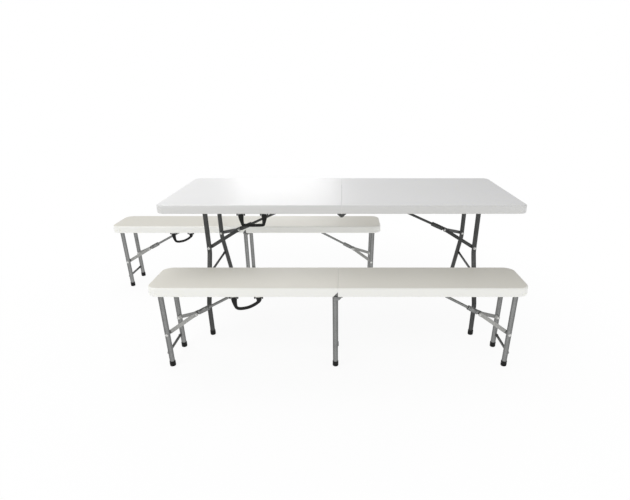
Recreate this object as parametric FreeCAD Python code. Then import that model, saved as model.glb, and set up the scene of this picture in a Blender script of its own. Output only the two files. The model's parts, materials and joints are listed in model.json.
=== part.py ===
"""Folding picnic set: a fold-in-half table and two fold-in-half benches.

Each of the three has two hollow moulded plastic halves hinged under the middle,
steel rails under the halves, tubular legs that swing up between the rails, and a
jointed brace with a sliding lock sleeve. Millimetres, X along the seats, Z up.
"""
import FreeCAD
import Part
import math
import os

V = FreeCAD.Vector

# --- where the three stand ---------------------------------------------------
TABLE_X = 297.5            # table centre, so the whole set is centred on X = 0
FRONT_SHIFT = -17.0        # front bench centre, measured from the table centre
BACK_SHIFT = -620.0        # back bench stands further left
BENCH_Y = 518.0            # bench centre line: 8 mm clear of the table edge

# --- shared sizes ------------------------------------------------------------
SEAM = 0.5                 # half the gap between the two halves
SEAM_WALL = 8.0            # moulded wall along the seam
DECK = 14.0                # thickness of the deck
TUBE = 12.5                # leg tube radius
TUBE_WALL = 1.3            # leg tube wall
PIVOT_TUBE = 13.0          # radius of the cross tube a leg frame turns on
BAR = 6.5                  # radius of the low crossbar
FOOT = 6.0                 # rubber under the end of a leg tube
CAP = 14.4                 # rubber cap radius
CAP_HEIGHT = 28.0
LEG_PIVOT_DROP = 15.0      # leg pivot below the deck underside
LINK_PIVOT_DROP = 10.0     # brace pivot below the deck underside
HINGE_DROP = 10.5          # fold hinge axis below the rim
HINGE_EYE = 7.5            # radius of the hinge lug round its pin
HINGE_HALF = 22.0          # half the width of the hinge at the rim
PIN = 4.0                  # radius of hinge pins and rivets
HOLE = 4.08                # their holes
SPIGOT = 6.0               # radius of the leg spigots that turn in the rails
AXLE = 3.0                 # radius of the carry handle axles
PLAY = 0.08                # running clearance on the radius
RAIL_STEEL = 2.5           # rail thickness
LINK = 6.8                 # radius of the upper brace rod
SLEEVE = 12.0              # outer radius of the lock sleeve
ARM_WIDTH = 19.0           # flat lower arms
ARM_STEEL = 4.0
KNUCKLE_Y = 12.8           # inner face of a lower arm at the knuckle

TABLE = {
    "length": 1800.0, "width": 740.0, "height": 740.0,
    "rim": 42.0, "wall": 16.0, "corner": 38.0,
    "leg_x": 724.0, "lean": 10.0, "spread": 147.5, "foot_spread": 286.5,
    "splay_top": 433.0, "splay_low": 178.0,
    "bar_z": 311.0, "bar_offset": 11.8,
    "arm_reach": 255.0, "link_x": 140.0, "sleeve": 70.0,
    "centre_x": None, "flange": 20.0, "handle_x": -432.0, "dimple_pitch": (88.0, 92.0),
}
BENCH = {
    "length": 1750.0, "width": 280.0, "height": 430.0,
    "rim": 44.0, "wall": 14.0, "corner": 55.0,
    "leg_x": 824.0, "lean": 8.0, "spread": 96.0, "foot_spread": 96.0,
    "splay_top": 300.0, "splay_low": 200.0,
    "bar_z": 70.0, "bar_offset": 11.3,
    "arm_reach": 227.0, "link_x": 380.0, "sleeve": 60.0,
    "centre_x": -13.5, "flange": 9.5, "handle_x": -418.0, "dimple_pitch": (70.0, 62.0),
}

HANDLE_HALF = 70.0         # half the outer width of a carry handle
HANDLE_DROP = 58.0
HANDLE_THICK = 7.0
AXLE_DROP = 5.0            # handle axle below the rim


# --- derived heights and lengths ----------------------------------------------
def rim_bottom(spec):
    return spec["height"] - spec["rim"]


def deck_bottom(spec):
    return spec["height"] - DECK


def leg_pivot(spec):
    """Leg pivot on the +X side as (x, z)."""
    return spec["leg_x"], deck_bottom(spec) - LEG_PIVOT_DROP


def link_pivot(spec):
    return spec["link_x"], deck_bottom(spec) - LINK_PIVOT_DROP


def on_leg(spec, drop):
    """A point down the leg line, drop below the pivot height, as (x, z)."""
    x, z = leg_pivot(spec)
    return x - spec["lean"] * drop / z, z - drop


def arm_pivot(spec):
    """Where the lower arms pivot on the leg."""
    x, z = leg_pivot(spec)
    length = math.hypot(spec["lean"], z)
    reach = spec["arm_reach"]
    return x - reach * spec["lean"] / length, z - reach * z / length


def brace_lengths(spec):
    """Rod and arm lengths: straight when open, doubled back when the leg is flat."""
    px, pz = link_pivot(spec)
    ax, az = arm_pivot(spec)
    ox, oz = leg_pivot(spec)
    open_span = math.hypot(ax - px, az - pz)
    flat_span = math.hypot(ox - spec["arm_reach"] - px, oz - pz)
    return (open_span + flat_span) / 2, (open_span - flat_span) / 2


def knuckle(spec):
    px, pz = link_pivot(spec)
    ax, az = arm_pivot(spec)
    rod, arm = brace_lengths(spec)
    part = rod / (rod + arm)
    return px + (ax - px) * part, pz + (az - pz) * part


def rail_lane(spec, side):
    """Inner and outer face of the upright rail flange, as distances from Y = 0."""
    outer = spec["width"] / 2 - spec["wall"] - spec["flange"]
    if side > 0:
        outer = outer - RAIL_STEEL - 0.4
    return outer - RAIL_STEEL, outer


def flange_edge(spec):
    """Outer edge of the flat rail flange, just inside the moulded wall."""
    return spec["width"] / 2 - spec["wall"] - 0.5


# --- small helpers -------------------------------------------------------------
def fuse(shapes):
    first = shapes[0]
    if len(shapes) == 1:
        return first
    return first.multiFuse(shapes[1:]).removeSplitter()


def cylinder(radius, start, end):
    line = end - start
    return Part.makeCylinder(radius, line.Length, start, line)


def cross_pin(radius, x, z, y0, y1):
    """A round bar along Y from y0 to y1."""
    return cylinder(radius, V(x, min(y0, y1), z), V(x, max(y0, y1), z))


def box(x0, x1, y0, y1, z0, z1):
    return Part.makeBox(abs(x1 - x0), abs(y1 - y0), abs(z1 - z0),
                        V(min(x0, x1), min(y0, y1), min(z0, z1)))


def plate_xz(points, y0, y1):
    """A flat plate from an outline in X and Z, between two Y values."""
    corners = [V(x, min(y0, y1), z) for x, z in points]
    wire = Part.makePolygon(corners + corners[:1])
    return Part.Face(wire).extrude(V(0, abs(y1 - y0), 0))


def smooth_path(points, bend):
    """A wire through the points with each inner corner rounded."""
    edges = []
    start = points[0]
    for i in range(1, len(points) - 1):
        before, corner, after = points[i - 1], points[i], points[i + 1]
        d1 = (before - corner).normalize()
        d2 = (after - corner).normalize()
        turn = math.pi - d1.getAngle(d2)
        cut = bend * math.tan(turn / 2)
        a = corner + d1 * cut
        b = corner + d2 * cut
        inward = (d1 + d2).normalize()
        middle = corner + inward * (bend / math.cos(turn / 2) - bend)
        edges.append(Part.makeLine(start, a))
        edges.append(Part.Arc(a, middle, b).toShape())
        start = b
    edges.append(Part.makeLine(start, points[-1]))
    return Part.Wire(edges)


def sweep_round(points, bend, radius):
    """A solid round bar bent through the points."""
    path = smooth_path(points, bend)
    tangent = points[1] - points[0]
    ring = Part.Wire(Part.makeCircle(radius, points[0], tangent))
    return path.makePipeShell([ring], True, True)


def place(shape, origin):
    moved = shape.copy()
    moved.translate(origin)
    return moved


# --- moulded halves --------------------------------------------------------------
def half_outline(spec, side, inset, seam_x, z):
    """Closed outline of one half at height z, with two rounded outer corners."""
    end = spec["length"] / 2 - inset
    edge = spec["width"] / 2 - inset
    radius = spec["corner"] - inset
    k = radius * (1 - math.sqrt(0.5))
    p = [V(seam_x, -edge, z), V(end - radius, -edge, z), V(end - k, -edge + k, z),
         V(end, -edge + radius, z), V(end, edge - radius, z), V(end - k, edge - k, z),
         V(end - radius, edge, z), V(seam_x, edge, z)]
    p = [V(side * q.x, q.y, q.z) for q in p]
    edges = [Part.makeLine(p[0], p[1]), Part.Arc(p[1], p[2], p[3]).toShape(),
             Part.makeLine(p[3], p[4]), Part.Arc(p[4], p[5], p[6]).toShape(),
             Part.makeLine(p[6], p[7]), Part.makeLine(p[7], p[0])]
    return Part.Wire(edges)


def edges_at(shape, z, side):
    """Outer edges lying at one height, leaving out the seam edge."""
    found = []
    for edge in shape.Edges:
        b = edge.BoundBox
        level = abs(b.ZMin - z) < 0.01 and abs(b.ZMax - z) < 0.01
        at_seam = abs(b.XMax - b.XMin) < 0.01 and abs(abs(b.XMin) - SEAM) < 0.01
        if level and not at_seam:
            found.append(edge)
    return found


def screw_spots(spec, side):
    """Centres of the screws under one half as (x, y)."""
    y_out = rail_lane(spec, side)[1]
    y = (y_out + flange_edge(spec)) / 2
    spots = []
    for i in range(4):
        x = 60.0 + i * (spec["leg_x"] - 110.0) / 3
        for sign in (-1, 1):
            spots.append((side * x, sign * y))
    for sign in (-1, 1):
        spots.append((side * spec["link_x"], sign * 20.0))
    return spots


def dimples(spec, side):
    """Shallow cones pressed up into the deck underside, clear of the steelwork."""
    step_x, step_y = spec["dimple_pitch"]
    z = deck_bottom(spec)
    room_y = rail_lane(spec, 1)[0] - 28.0
    rows = int(room_y // step_y)
    cones = []
    x = 54.0
    while x < spec["length"] / 2 - spec["wall"] - 30.0:
        for row in range(-rows, rows + 1):
            near_link = abs(x - spec["link_x"]) < 42 and abs(row * step_y) < 42
            if not near_link:
                cone = Part.makeCone(13.0, 8.0, 6.0, V(side * x, row * step_y, z - 0.01))
                cones.append(cone)
        x += step_x
    return cones


def moulded_half(spec, side):
    """One half of the top or seat, open underneath, with a rim all round."""
    z0, z1 = rim_bottom(spec), spec["height"]
    outer = Part.Face(half_outline(spec, side, 0.0, SEAM, z0)).extrude(V(0, 0, z1 - z0))
    outer = outer.makeFillet(5.0, edges_at(outer, z1, side))
    outer = outer.makeFillet(3.0, edges_at(outer, z0, side))
    seam_in = SEAM + SEAM_WALL
    if side < 0 and spec["centre_x"] is not None:
        seam_in = -1.0
    inner = Part.Face(half_outline(spec, side, spec["wall"], seam_in, z0 - 1))
    inner = inner.extrude(V(0, 0, deck_bottom(spec) - z0 + 1))
    cutters = [inner] + dimples(spec, side)
    for x, y in screw_spots(spec, side):
        cutters.append(cylinder(2.1, V(x, y, deck_bottom(spec) - 1), V(x, y, z1 - 4)))
    if side < 0 and spec["centre_x"] is not None:
        cutters.append(seam_notch(spec))
    return outer.cut(Part.makeCompound(cutters))


def seam_notch(spec):
    """The slanted cut in the rims where the centre leg comes up to the seam."""
    z = rim_bottom(spec)
    size = 25.0
    half = spec["width"] / 2 + 1
    return plate_xz([(1, z - 1), (-size - 1, z - 1), (1, z + size + 1)], -half, half)


# --- steel under the halves ---------------------------------------------------------
def rail(spec, side, sign):
    """Angle rail along one edge: the upright carries the leg pivot."""
    y_in, y_out = rail_lane(spec, side)
    low = rim_bottom(spec) + 2.0
    top = deck_bottom(spec)
    start = SEAM + SEAM_WALL + 1.5
    if side < 0 and spec["centre_x"] is not None:
        start = 1.5
    end = spec["leg_x"] + 16.0
    flange_end = min(end, spec["length"] / 2 - spec["corner"])
    outline = [(start, top), (end, top), (end, low + 6), (end - 6, low),
               (start + 4, low), (start, low + 4)]
    upright = plate_xz([(side * x, z) for x, z in outline], sign * y_in, sign * y_out)
    flange = box(side * start, side * flange_end, sign * y_in, sign * flange_edge(spec),
                 top - RAIL_STEEL, top)
    px, pz = leg_pivot(spec)
    bearing = SPIGOT + PLAY
    holes = [cross_pin(bearing, side * px, pz, sign * (y_in - 1), sign * (y_out + 1))]
    if side < 0 and spec["centre_x"] is not None:
        x = spec["centre_x"]
        holes.append(cross_pin(bearing, x, pz, sign * (y_in - 1), sign * (y_out + 1)))
    holes += screw_holes(spec, side)
    return fuse([upright, flange]).cut(Part.makeCompound(holes))


def hinge_lane(spec, side):
    """Inner and outer face of a hinge lug; the two halves' lugs lie side by side."""
    outer = spec["width"] / 2 - 5.5
    if side > 0:
        outer = outer - RAIL_STEEL - 0.4
    return outer - RAIL_STEEL, outer


def hinge_leaf(spec, side, sign):
    """A folded steel leaf: a tab under the rim and a tapering lug that holds the pin."""
    y_in, y_out = hinge_lane(spec, side)
    top = rim_bottom(spec)
    axis_z = top - HINGE_DROP
    outline = [(1.0, top), (HINGE_HALF, top), (HINGE_HALF - 1.5, top - 3.0),
               (5.0, axis_z - HINGE_EYE), (0.0, axis_z - HINGE_EYE), (0.0, axis_z + HINGE_EYE),
               (1.0, axis_z + HINGE_EYE)]
    lug = plate_xz([(side * x, z) for x, z in outline], sign * y_in, sign * y_out)
    eye = cross_pin(HINGE_EYE, 0, axis_z, sign * y_in, sign * y_out)
    middle = spec["width"] / 2 - 8.4
    tab = box(side * 1.0, side * HINGE_HALF, sign * (middle - 5.2), sign * (middle + 5.2),
              top - RAIL_STEEL, top)
    hole = cross_pin(HOLE, 0, axis_z, sign * (y_in - 1), sign * (y_out + 1))
    return fuse([lug, eye, tab]).cut(hole)


def screw_holes(spec, side):
    z = deck_bottom(spec)
    return [cylinder(2.3, V(x, y, z - 8), V(x, y, z + 1)) for x, y in screw_spots(spec, side)]


def link_bracket(spec, side):
    """The U bracket that carries the top of the brace rod."""
    x, z = link_pivot(spec)
    top = deck_bottom(spec)
    base = box(side * (x - 18), side * (x + 18), -28, 28, top - RAIL_STEEL, top)
    ears = []
    for sign in (-1, 1):
        ears.append(box(side * (x - 9), side * (x + 9), sign * 9, sign * 11.5, z, top))
        ears.append(cross_pin(9, side * x, z, sign * 9, sign * 11.5))
    hole = cross_pin(HOLE, side * x, z, -12, 12)
    return fuse([base] + ears).cut(Part.makeCompound([hole] + screw_holes(spec, side)))


def handle_saddles(spec):
    """Four small saddles under the rim that hold the handle axles."""
    y = -(spec["width"] / 2 - spec["wall"] / 2)
    z = rim_bottom(spec)
    saddles = []
    for sign in (-1, 1):
        for near in (36.5, HANDLE_HALF + 1.5):
            x0 = spec["handle_x"] + sign * near
            x1 = x0 + sign * 5.0
            block = box(x0, x1, y - 4.9, y + 4.9, z - AXLE_DROP, z)
            nose = cylinder(4.9, V(min(x0, x1), y, z - AXLE_DROP), V(max(x0, x1), y, z - AXLE_DROP))
            hole = cylinder(AXLE + PLAY, V(min(x0, x1) - 1, y, z - AXLE_DROP),
                            V(max(x0, x1) + 1, y, z - AXLE_DROP))
            saddles.append(block.fuse(nose).removeSplitter().cut(hole))
    return saddles


def screws(spec, side):
    """Pan-head screws through the rails and bracket into the deck."""
    z = deck_bottom(spec)
    made = []
    for x, y in screw_spots(spec, side):
        shank = cylinder(2.0, V(x, y, z - RAIL_STEEL), V(x, y, z + 8))
        head = cylinder(4.0, V(x, y, z - RAIL_STEEL - 2.6), V(x, y, z - RAIL_STEEL))
        edge = [e for e in head.Edges if abs(e.BoundBox.ZMax - (z - RAIL_STEEL - 2.6)) < 0.01
                and abs(e.BoundBox.ZMin - e.BoundBox.ZMax) < 0.01]
        made.append(head.makeFillet(1.2, edge).fuse(shank).removeSplitter())
    return made


def hinge_pins(spec):
    """Headed pins of the two fold hinges."""
    z = rim_bottom(spec) - HINGE_DROP
    y_in = hinge_lane(spec, 1)[0] - 0.4
    y_out = hinge_lane(spec, -1)[1] + 0.4
    pins = []
    for sign in (-1, 1):
        shank = cross_pin(PIN, 0, z, sign * (y_in - 1.5), sign * (y_out + 1.5))
        heads = [cross_pin(6.0, 0, z, sign * (y_in - 2.2), sign * y_in),
                 cross_pin(6.0, 0, z, sign * y_out, sign * (y_out + 2.2))]
        pins.append(fuse([shank] + heads))
    return pins


# --- legs --------------------------------------------------------------------------
def pivot_tube(spec, side, x):
    """The cross tube at the top of a leg frame with its two end spigots."""
    z = leg_pivot(spec)[1]
    reach = rail_lane(spec, side)[0] - 2.0
    tube = cross_pin(PIVOT_TUBE, x, z, -reach, reach)
    bore = cross_pin(PIVOT_TUBE - TUBE_WALL, x, z, -reach + 10, reach - 10)
    spigots = cross_pin(SPIGOT, x, z, -reach - 8, -reach + 2).fuse(
        cross_pin(SPIGOT, x, z, reach - 2, reach + 8))
    return tube, bore, spigots


def leg_points(spec, side, sign):
    """Centre line of one leg tube from the pivot to the foot."""
    top_z = leg_pivot(spec)[1]
    heights = [top_z, spec["splay_top"], spec["splay_low"], FOOT + 0.6]
    spreads = [spec["spread"], spec["spread"], spec["foot_spread"], spec["foot_spread"]]
    if spec["spread"] == spec["foot_spread"]:
        heights = [top_z, FOOT + 0.6]
        spreads = [spec["spread"], spec["spread"]]
    points = []
    for z, spread in zip(heights, spreads):
        points.append(V(side * on_leg(spec, top_z - z)[0], sign * spread, z))
    return points


def bar_half(spec):
    """Half the length of the low crossbar, out to the tube centre lines."""
    share = (spec["splay_top"] - spec["bar_z"]) / (spec["splay_top"] - spec["splay_low"])
    share = min(1.0, max(0.0, share))
    return spec["spread"] + (spec["foot_spread"] - spec["spread"]) * share


def end_leg(spec, side):
    """The two-tube leg frame near one end, with rivet holes for the lower arms."""
    x, top_z = leg_pivot(spec)
    tube, bore, spigots = pivot_tube(spec, side, side * x)
    outer, inner = [tube], [bore]
    for sign in (-1, 1):
        points = leg_points(spec, side, sign)
        outer.append(sweep_round(points, 60.0, TUBE))
        inner.append(sweep_round(points, 60.0, TUBE - TUBE_WALL))
    bar_x = on_leg(spec, top_z - spec["bar_z"])[0] + spec["bar_offset"]
    half = bar_half(spec)
    ax, az = arm_pivot(spec)
    holes = [cross_pin(HOLE, side * ax, az, sign * (spec["spread"] - 20),
                       sign * (spec["spread"] + 20)) for sign in (-1, 1)]
    frame = fuse(outer).cut(Part.makeCompound(inner + holes))
    return fuse([frame, spigots, cross_pin(BAR, side * bar_x, spec["bar_z"], -half, half)])


def centre_leg(spec):
    """The pair of tubes under the seam, hung from the left half."""
    x = spec["centre_x"]
    top_z = leg_pivot(spec)[1]
    tube, bore, spigots = pivot_tube(spec, -1, x)
    outer, inner = [tube], [bore]
    for sign in (-1, 1):
        y = sign * spec["spread"]
        outer.append(cylinder(TUBE, V(x, y, FOOT + 0.6), V(x, y, top_z)))
        inner.append(cylinder(TUBE - TUBE_WALL, V(x, y, FOOT), V(x, y, top_z)))
    frame = fuse(outer).cut(Part.makeCompound(inner))
    half = spec["spread"]
    return fuse([frame, spigots, cross_pin(BAR, x, spec["bar_z"], -half, half)])


def foot_caps(spots):
    """Rubber cups over the tube ends; each stands flat on the ground."""
    caps = []
    for x, y in spots:
        body = cylinder(CAP, V(x, y, 0), V(x, y, CAP_HEIGHT))
        rims = [e for e in body.Edges if abs(e.BoundBox.ZMax - e.BoundBox.ZMin) < 0.01]
        body = body.makeFillet(1.8, rims)
        caps.append(body.cut(cylinder(TUBE + 0.6, V(x, y, FOOT), V(x, y, CAP_HEIGHT + 1))))
    return caps


def end_caps(spec, side):
    x = on_leg(spec, leg_pivot(spec)[1] - CAP_HEIGHT / 2)[0]
    return foot_caps([(side * x, sign * spec["foot_spread"]) for sign in (-1, 1)])


def leg_rivets(spec, side):
    """Headed rivets through the leg tubes that carry the lower arms."""
    x, z = arm_pivot(spec)
    y_out = spec["spread"] + TUBE
    y_in = spec["spread"] - TUBE - 0.6 - ARM_STEEL - 0.3
    rivets = []
    for sign in (-1, 1):
        shank = cross_pin(PIN, side * x, z, sign * (y_in - 2), sign * (y_out + 1.5))
        outer = cross_pin(7.0, side * x, z, sign * y_out, sign * (y_out + 2.2))
        inner = cross_pin(6.5, side * x, z, sign * (y_in - 2.6), sign * y_in)
        rivets.append(fuse([shank, outer, inner]))
    return rivets


# --- braces ---------------------------------------------------------------------------
def brace_rod(spec, side):
    """The upper rod: an eye at the bracket and a spacer eye at the knuckle, plus its pin."""
    px, pz = link_pivot(spec)
    jx, jz = knuckle(spec)
    rod = cylinder(LINK, V(side * px, 0, pz), V(side * jx, 0, jz))
    eyes = [cross_pin(7.2, side * px, pz, -8.4, 8.4), cross_pin(8.0, side * jx, jz, -12.4, 12.4)]
    holes = [cross_pin(HOLE, side * jx, jz, -14, 14)]
    body = fuse([rod] + eyes).cut(Part.makeCompound(holes))
    pin = cross_pin(PIN, side * px, pz, -12.0, 12.0)
    heads = [cross_pin(6.0, side * px, pz, sign * 11.8, sign * 14.2) for sign in (-1, 1)]
    return fuse([body, pin] + heads)


def lock_sleeve(spec, side):
    """The sleeve that slides on the rod; it rests just above the knuckle."""
    px, pz = link_pivot(spec)
    jx, jz = knuckle(spec)
    up = V(side * (px - jx), 0, pz - jz).normalize()
    start = V(side * jx, 0, jz) + up * 9.5
    body = cylinder(SLEEVE, start, start + up * spec["sleeve"])
    rims = [e for e in body.Edges if len(e.Vertexes) == 1]
    body = body.makeFillet(2.5, rims)
    return body.cut(cylinder(LINK + PLAY, start - up, start + up * (spec["sleeve"] + 1)))


def lower_arms(spec, side):
    """Two flat bars from the leg rivets, bent in to meet the knuckle."""
    ax, az = arm_pivot(spec)
    jx, jz = knuckle(spec)
    along = V(side * (jx - ax), 0, jz - az)
    length = along.Length
    along.normalize()
    across = along.cross(V(0, 1, 0))
    outer = spec["spread"] - TUBE - 0.6
    inner = KNUCKLE_Y + ARM_STEEL
    arms = []
    for sign in (-1, 1):
        line = [(0.0, outer), (17.0, outer), (length - 17.0, inner), (length, inner)]
        back = [(s, y - ARM_STEEL) for s, y in reversed(line)]
        corners = []
        for s, y in line + back:
            corners.append(V(side * ax, sign * y, az) + along * s - across * (ARM_WIDTH / 2))
        strip = Part.Face(Part.makePolygon(corners + corners[:1])).extrude(across * ARM_WIDTH)
        eyes = [cross_pin(ARM_WIDTH / 2, side * ax, az, sign * (outer - ARM_STEEL), sign * outer),
                cross_pin(ARM_WIDTH / 2, side * jx, jz, sign * KNUCKLE_Y, sign * inner)]
        hole = cross_pin(HOLE, side * ax, az, sign * (outer - 6), sign * (outer + 2))
        head = cross_pin(6.5, side * jx, jz, sign * inner, sign * (inner + 3.0))
        arms.append(fuse([strip, eyes[0], eyes[1], head]).cut(hole))
    return arms


# --- carry handle ------------------------------------------------------------------------
def carry_handle(spec):
    """Moulded loop handle with two tapering tabs and a curved grip, on two axles."""
    x0 = spec["handle_x"]
    y = -(spec["width"] / 2 - spec["wall"] / 2)
    z0 = rim_bottom(spec) - AXLE_DROP
    wide, drop = HANDLE_HALF, HANDLE_DROP
    outer = [(-wide, 3.5), (-wide + 3, -drop * 0.55), (-wide + 8, -drop + 12)]
    lower = [(wide * t / 8, -drop + 6 - 6 * math.cos(t * math.pi / 16)) for t in range(-6, 7)]
    right = [(-x, z) for x, z in reversed(outer)]
    inner_r = [(wide - 26, 3.5), (wide - 21, -drop * 0.45), (wide - 21, -drop + 24)]
    upper = [(wide * t / 8, -drop + 22 - 7 * math.cos(t * math.pi / 12)) for t in range(5, -6, -1)]
    inner_l = [(-x, z) for x, z in reversed(inner_r)]
    outline = outer + lower + right + inner_r + upper + inner_l
    half = HANDLE_THICK / 2
    grip = plate_xz([(x0 + x, z0 + z) for x, z in outline], y - half, y + half)
    axles = []
    for sign in (-1, 1):
        inside, outside = x0 + sign * 37.5, x0 + sign * (wide + 7.5)
        axles.append(cylinder(AXLE, V(min(inside, outside), y, z0), V(max(inside, outside), y, z0)))
    return fuse([grip] + axles)


# --- putting one piece of furniture together ----------------------------------------------
def furniture(spec, name, origin, has_screw_nodes):
    """All the parts of one table or bench as a dict of name to list of solids."""
    parts = {}
    for side, word in ((-1, "left"), (1, "right")):
        parts["panel_" + word] = [moulded_half(spec, side)]
        steel = [rail(spec, side, -1), rail(spec, side, 1), link_bracket(spec, side)]
        steel += [hinge_leaf(spec, side, -1), hinge_leaf(spec, side, 1)]
        if side < 0:
            steel += handle_saddles(spec)
        if has_screw_nodes:
            parts["screws_" + word] = screws(spec, side)
        else:
            steel += screws(spec, side)
        parts["rails_" + word] = steel
        parts["leg_" + word] = [end_leg(spec, side)]
        parts["leg_caps_" + word] = end_caps(spec, side)
        parts["leg_rivets_" + word] = leg_rivets(spec, side)
        parts["brace_rod_" + word] = [brace_rod(spec, side)]
        parts["brace_arms_" + word] = lower_arms(spec, side)
        parts["lock_sleeve_" + word] = [lock_sleeve(spec, side)]
    parts["hinge_pins"] = hinge_pins(spec)
    parts["carry_handle"] = [carry_handle(spec)]
    if spec["centre_x"] is not None:
        parts["centre_leg"] = [centre_leg(spec)]
        spots = [(spec["centre_x"], sign * spec["spread"]) for sign in (-1, 1)]
        parts["centre_leg_caps"] = foot_caps(spots)
    return {name + "_" + key: [place(s, origin) for s in solids]
            for key, solids in parts.items()}


def main():
    os.makedirs("parts", exist_ok=True)
    made = {}
    made.update(furniture(TABLE, "table", V(TABLE_X, 0, 0), True))
    front = V(TABLE_X + FRONT_SHIFT, -BENCH_Y, 0)
    back = V(TABLE_X + BACK_SHIFT, BENCH_Y, 0)
    made.update(furniture(BENCH, "front_bench", front, False))
    made.update(furniture(BENCH, "back_bench", back, False))
    for node, solids in made.items():
        shape = solids[0] if len(solids) == 1 else Part.makeCompound(solids)
        shape.exportStep("parts/" + node + ".step")


main()
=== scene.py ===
"""Looks of the folding picnic set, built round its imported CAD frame. Metres, Z up."""
import json
import math
import random
import bmesh
import bpy
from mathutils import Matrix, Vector


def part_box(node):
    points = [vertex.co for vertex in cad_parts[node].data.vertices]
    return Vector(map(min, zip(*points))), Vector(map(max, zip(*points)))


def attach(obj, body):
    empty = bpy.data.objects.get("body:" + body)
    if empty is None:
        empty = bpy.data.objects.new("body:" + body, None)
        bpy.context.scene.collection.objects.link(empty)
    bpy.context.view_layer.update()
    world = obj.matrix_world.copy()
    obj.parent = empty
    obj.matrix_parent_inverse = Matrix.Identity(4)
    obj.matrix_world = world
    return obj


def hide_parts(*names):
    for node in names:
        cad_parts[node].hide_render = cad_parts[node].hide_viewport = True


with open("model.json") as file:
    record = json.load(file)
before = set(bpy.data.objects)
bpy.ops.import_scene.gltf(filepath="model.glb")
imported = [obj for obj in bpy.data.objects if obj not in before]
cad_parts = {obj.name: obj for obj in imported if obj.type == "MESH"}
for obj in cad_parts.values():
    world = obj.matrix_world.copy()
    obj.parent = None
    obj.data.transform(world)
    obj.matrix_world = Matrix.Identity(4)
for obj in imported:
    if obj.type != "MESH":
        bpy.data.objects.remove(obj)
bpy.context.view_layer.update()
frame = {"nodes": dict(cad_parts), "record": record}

# --- sizes, metres ---------------------------------------------------------------
DECK = 0.014            # thickness of the deck of each moulded half
SEAM = 0.00012          # half the gap between two halves
TUBE_R = 0.0125         # leg tube
PIVOT_R = 0.013         # cross tube at the top of a leg frame
SPIGOT_R = 0.006        # its ends, which turn in the rails
BAR_R = 0.0065          # low crossbar of a leg frame
ROD_R = 0.0068          # upper brace rod
PIN_R = 0.004           # rivets and pins
AXLE_R = 0.003          # axles of the carry handle
STEEL = 0.0025          # thickness of the rails
ARM_STEEL = 0.004       # thickness of the brace arms
LEG_DROP = 0.015        # leg pivot below the deck
LINK_DROP = 0.010       # brace pivot below the deck
AXLE_DROP = 0.005       # handle axle below the rim
TUBE_FOOT = 0.0066      # height of the tube ends inside the rubber feet
LEG_BEND = 0.060        # radius of the bends in the table legs
DIMPLE_R = 0.0135       # dimple radius on the underside of the deck
DIMPLE_FLAT = 0.0075    # radius of its flat bottom
DIMPLE_DEPTH = 0.0058
FIRST_DIMPLE = 0.054    # first row of dimples from the seam


def placed(name, sizes):
    """Sizes of one piece of furniture; place, length, width, height and rim come from the frame."""
    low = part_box(name + "_panel_left")[0]
    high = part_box(name + "_panel_right")[1]
    middle = (low + high) / 2
    found = {"name": name, "at": Vector((round(middle.x, 5), round(middle.y, 5), 0)),
             "length": round(high.x - low.x, 5), "width": round(high.y - low.y, 5),
             "height": round(high.z, 5), "rim": round(high.z - low.z, 5)}
    return dict(sizes, **found)


# leg_x, spread and foot_spread place the leg tubes; lean is how far a foot stands inward;
# splay and bar are heights above the floor; reach is from leg pivot to rivet; link_x is the bracket.
TABLE = placed("table", {
    "wall": 0.016, "corner": 0.038, "flange": 0.020,
    "leg_x": 0.724, "lean": 0.010, "spread": 0.1475, "foot_spread": 0.2865,
    "splay_top": 0.433, "splay_low": 0.178, "bar_z": 0.311, "bar_offset": 0.0118,
    "reach": 0.255, "link_x": 0.140, "sleeve": 0.070, "centre_x": None,
    "handle_x": -0.432, "dimples": (0.088, 0.092), "skin": "table_plastic",
    # table_steel is the grey coating darkened with painted shade.
    "steel": "table_steel", "arms": "table_steel",
})
BENCH = {
    "wall": 0.014, "corner": 0.055, "flange": 0.0095, "leg_x": 0.824, "lean": 0.008, "spread": 0.096,
    "foot_spread": 0.096, "splay_top": 0.3, "splay_low": 0.2, "bar_z": 0.070,
    "bar_offset": 0.0113, "reach": 0.227, "link_x": 0.380, "sleeve": 0.060,
    "centre_x": -0.0135, "handle_x": -0.418, "dimples": (0.070, 0.062),
    # arm_steel is the grey coating lightened with a painted highlight.
    "skin": "bench_plastic", "steel": "bench_steel", "arms": "arm_steel",
}
FRONT = placed("front_bench", BENCH)
BACK = placed("back_bench", BENCH)


# --- geometry of one piece of furniture --------------------------------------------
def rim_bottom(s):
    return s["height"] - s["rim"]


def deck_bottom(s):
    return s["height"] - DECK


def leg_pivot(s):
    return s["leg_x"], deck_bottom(s) - LEG_DROP


def link_pivot(s):
    return s["link_x"], deck_bottom(s) - LINK_DROP


def on_leg(s, drop):
    """How far out the leg is, that much below its pivot."""
    x, z = leg_pivot(s)
    return x - s["lean"] * drop / z


def arm_pivot(s):
    """The rivet between leg and brace arm."""
    x, z = leg_pivot(s)
    size = math.hypot(s["lean"], z)
    return x - s["reach"] * s["lean"] / size, z - s["reach"] * z / size


def knuckle(s):
    """Where rod and arms meet: there the brace closes both with the leg open and with it flat."""
    px, pz = link_pivot(s)
    ax, az = arm_pivot(s)
    ox, oz = leg_pivot(s)
    open_span = math.hypot(ax - px, az - pz)
    flat_span = math.hypot(ox - s["reach"] - px, oz - pz)
    share = (open_span + flat_span) / 2 / open_span
    return px + (ax - px) * share, pz + (az - pz) * share


def rail_lane(s, side):
    """Inner and outer face of a rail's upright web, from the middle line."""
    outer = s["width"] / 2 - s["wall"] - s["flange"]
    if side > 0:
        outer -= STEEL + 0.0004
    return outer - STEEL, outer


def flange_edge(s):
    return s["width"] / 2 - s["wall"] - 0.0005


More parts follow.
